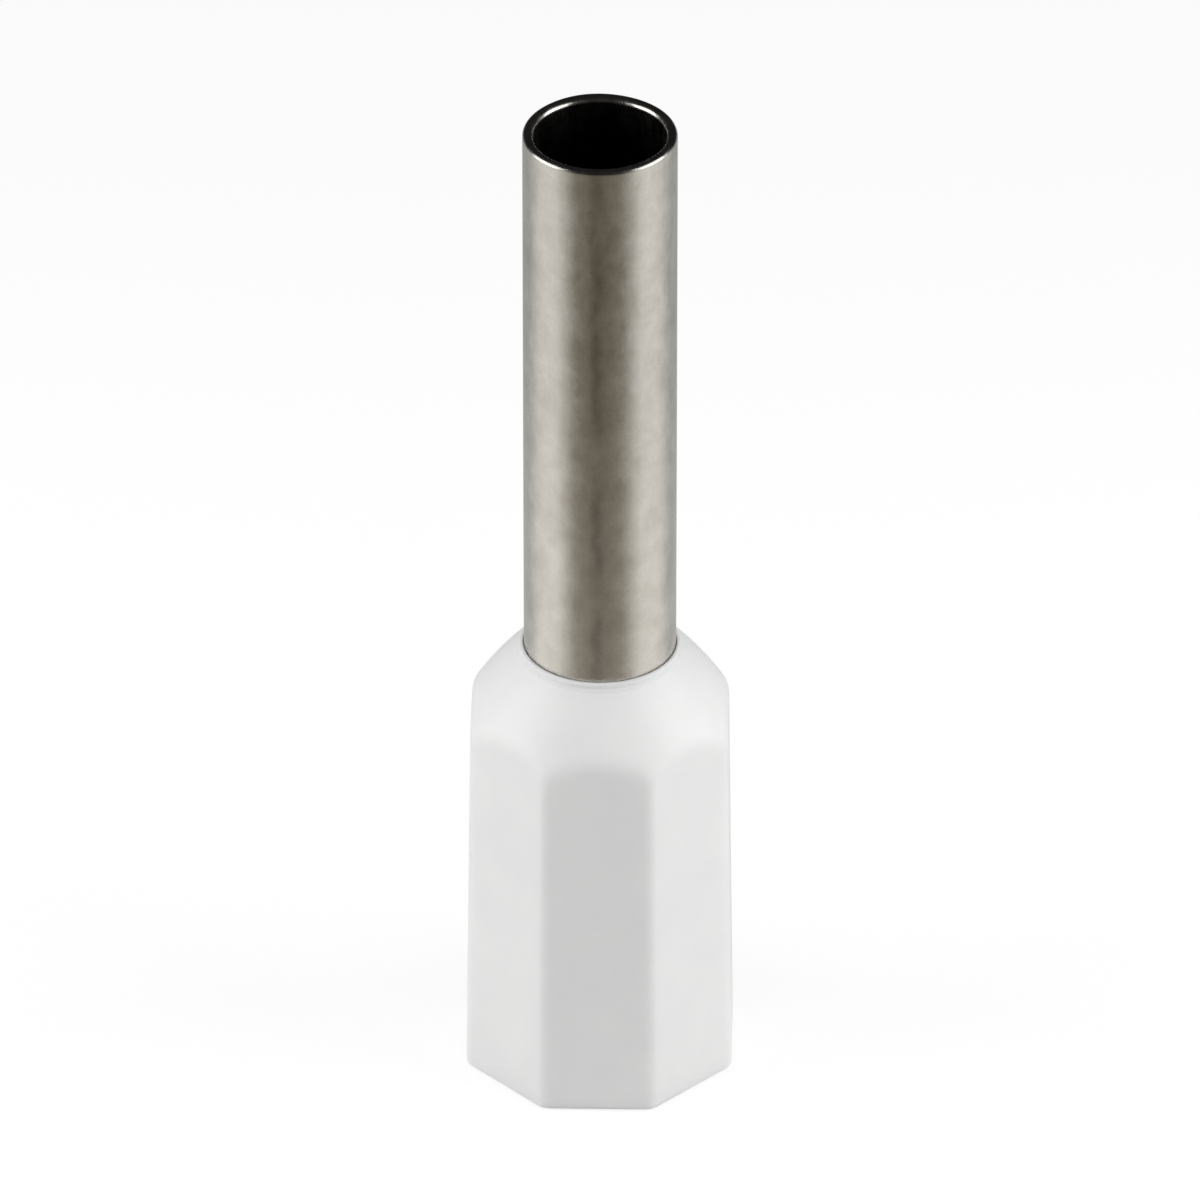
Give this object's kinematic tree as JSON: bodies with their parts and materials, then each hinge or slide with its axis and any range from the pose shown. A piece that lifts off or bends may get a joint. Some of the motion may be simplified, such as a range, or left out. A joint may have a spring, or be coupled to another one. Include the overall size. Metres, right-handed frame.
{
  "type": "wire ferrule",
  "caption": "Insulated wire ferrule: a tinned metal tube with a flared inner end, held in a white eight-sided plastic collar that guides the wire in.",
  "frame": {"origin": "centre of the collar's open end, on the surface that the ferrule stands on", "axes": "+Z along the axis, from the collar's open end to the tube's mouth; one flat of the collar faces -Y"},
  "size_m": [0.0036, 0.0036, 0.0141],
  "materials": {
    "tinned_metal": "satin tin plating on drawn copper, slightly mottled",
    "white_plastic": "smooth moulded polypropylene, satin"
  },
  "bodies": {
    "root": {"ferrule_tube": "tinned_metal", "insulating_collar": "white_plastic"}
  },
  "joints": []
}
